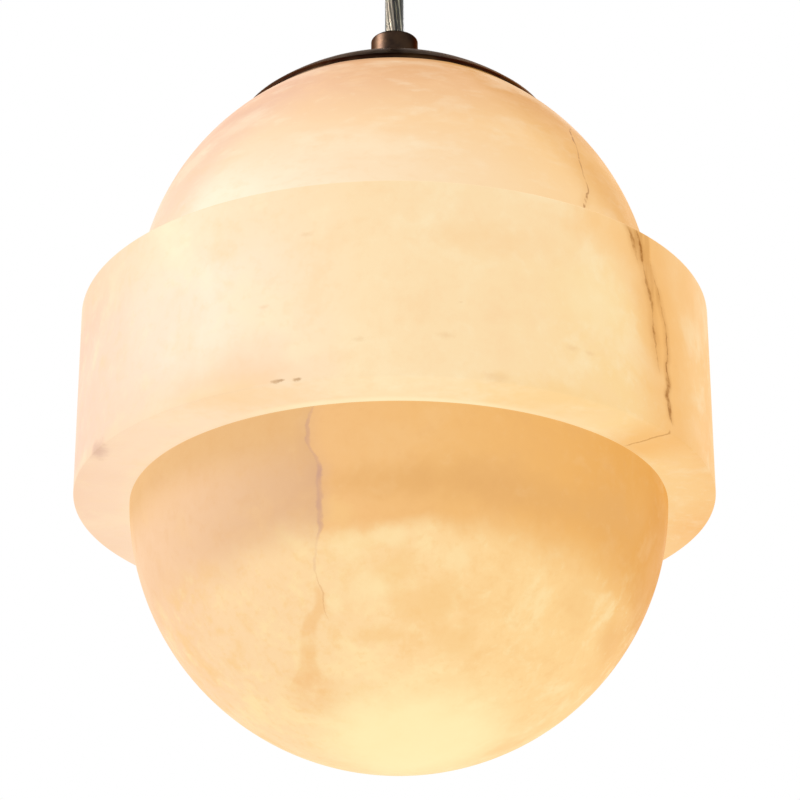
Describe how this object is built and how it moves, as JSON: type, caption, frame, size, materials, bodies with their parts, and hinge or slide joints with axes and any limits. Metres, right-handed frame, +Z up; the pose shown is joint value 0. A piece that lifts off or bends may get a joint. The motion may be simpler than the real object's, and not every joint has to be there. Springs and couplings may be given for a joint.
{
  "type": "alabaster globe pendant",
  "caption": "Turned alabaster pendant of upper dome, drum and lower bowl on a clear cord, with a bronze cap, collar and ceiling canopy and a lamp cluster inside.",
  "frame": {"origin": "middle of the slotted ceiling bracket's face that meets the ceiling", "axes": "+Z up into the ceiling along the cord and the stem, X along the crossbar"},
  "size_m": [0.28, 0.28, 0.4753],
  "materials": {
    "bracket_steel": "zinc plated",
    "bronze": "satin dark bronze",
    "nut_brass": "machined",
    "nylon": "natural nylon",
    "clear_cord": "clear jacket over tinned strands",
    "lead_sheath": "silicone sheath",
    "block_white": "moulded",
    "rubber": "matt",
    "felt": "felt",
    "dome_stone": "honed alabaster",
    "drum_stone": "honed alabaster",
    "bowl_stone": "honed alabaster",
    "silicone": "silicone",
    "stem_steel": "zinc plated",
    "carrier_steel": "white powder coat",
    "holder_ceramic": "glazed",
    "bulb_glass": "frosted",
    "bulb_foot": "ceramic"
  },
  "bodies": {
    "bracket": {"ceiling_bracket": "bracket_steel", "side_screws": "bronze", "earth_screw": "nut_brass"},
    "canopy": {"canopy": "bronze", "canopy_cord_grip": "bronze", "grip_sleeve": "nylon", "grip_lock_nut": "nut_brass", "cord_tail": "clear_cord", "supply_leads": "lead_sheath", "terminal_block": "block_white", "terminal_screws": "nut_brass"},
    "cord": {"cord": "clear_cord"},
    "pendant": {"stem": "stem_steel", "stem_cord": "clear_cord", "stem_nuts": "nut_brass", "stem_washers": "bracket_steel", "carrier": "carrier_steel", "arm_pads": "rubber", "drum_band": "drum_stone", "dome_seat_gasket": "silicone", "lower_bowl": "bowl_stone", "bowl_clips": "nut_brass", "clip_pads": "rubber", "clip_inserts": "nut_brass", "clip_screws": "bracket_steel", "wiring_cup": "carrier_steel", "lamp_plate": "carrier_steel", "lamp_plate_screws": "bracket_steel", "lamp_holders": "holder_ceramic", "lamp_leads": "lead_sheath"},
    "dome": {"upper_dome": "dome_stone"},
    "cap": {"cap": "bronze", "cap_gasket": "felt"},
    "bushing": {"collar_bushing": "rubber"},
    "collar": {"collar": "bronze"},
    "bulb_1": {"bulb_1": "bulb_glass", "bulb_1_base": "bulb_foot"},
    "bulb_2": {"bulb_2": "bulb_glass", "bulb_2_base": "bulb_foot"},
    "bulb_3": {"bulb_3": "bulb_glass", "bulb_3_base": "bulb_foot"}
  },
  "joints": [
    {"name": "canopy_drop", "type": "slide", "parent": "bracket", "child": "canopy", "axis": [0, 0, -1], "range_m": [0, 0.06]},
    {"name": "cord_swing", "type": "hinge", "parent": "canopy", "child": "cord", "pos_m": [0, 0, -0.032], "axis": [0, 1, 0], "range_deg": [-8, 8]},
    {"name": "pendant_turn", "type": "hinge", "parent": "cord", "child": "pendant", "pos_m": [0, 0, -0.135], "axis": [0, 0, 1], "range_deg": [-90, 90], "stiffness_Nm_per_rad": 0.05},
    {"name": "dome_lift", "type": "slide", "parent": "pendant", "child": "dome", "axis": [0, 0, 1], "range_m": [0, 0.012]},
    {"name": "cap_lift", "type": "slide", "parent": "dome", "child": "cap", "axis": [0, 0, 1], "range_m": [0, 0.048]},
    {"name": "bushing_rise", "type": "slide", "parent": "cap", "child": "bushing", "axis": [0, 0, 1], "range_m": [0, 0.0101]},
    {"name": "collar_turn", "type": "hinge", "parent": "bushing", "child": "collar", "pos_m": [0, 0, -0.1446], "axis": [0, 0, 1], "range_deg": [0, 3600]},
    {"name": "bulb_1_pull", "type": "slide", "parent": "pendant", "child": "bulb_1", "axis": [0.4589, 0.265, -0.848], "range_m": [0, 0.018]},
    {"name": "bulb_2_pull", "type": "slide", "parent": "pendant", "child": "bulb_2", "axis": [-0.4589, 0.265, -0.848], "range_m": [0, 0.018]},
    {"name": "bulb_3_pull", "type": "slide", "parent": "pendant", "child": "bulb_3", "axis": [0, -0.5299, -0.848], "range_m": [0, 0.018]}
  ],
  "couplings": [
    {"joint": "bushing_rise", "follows": "collar_turn", "m_per_rad": 0.00015915}
  ]
}
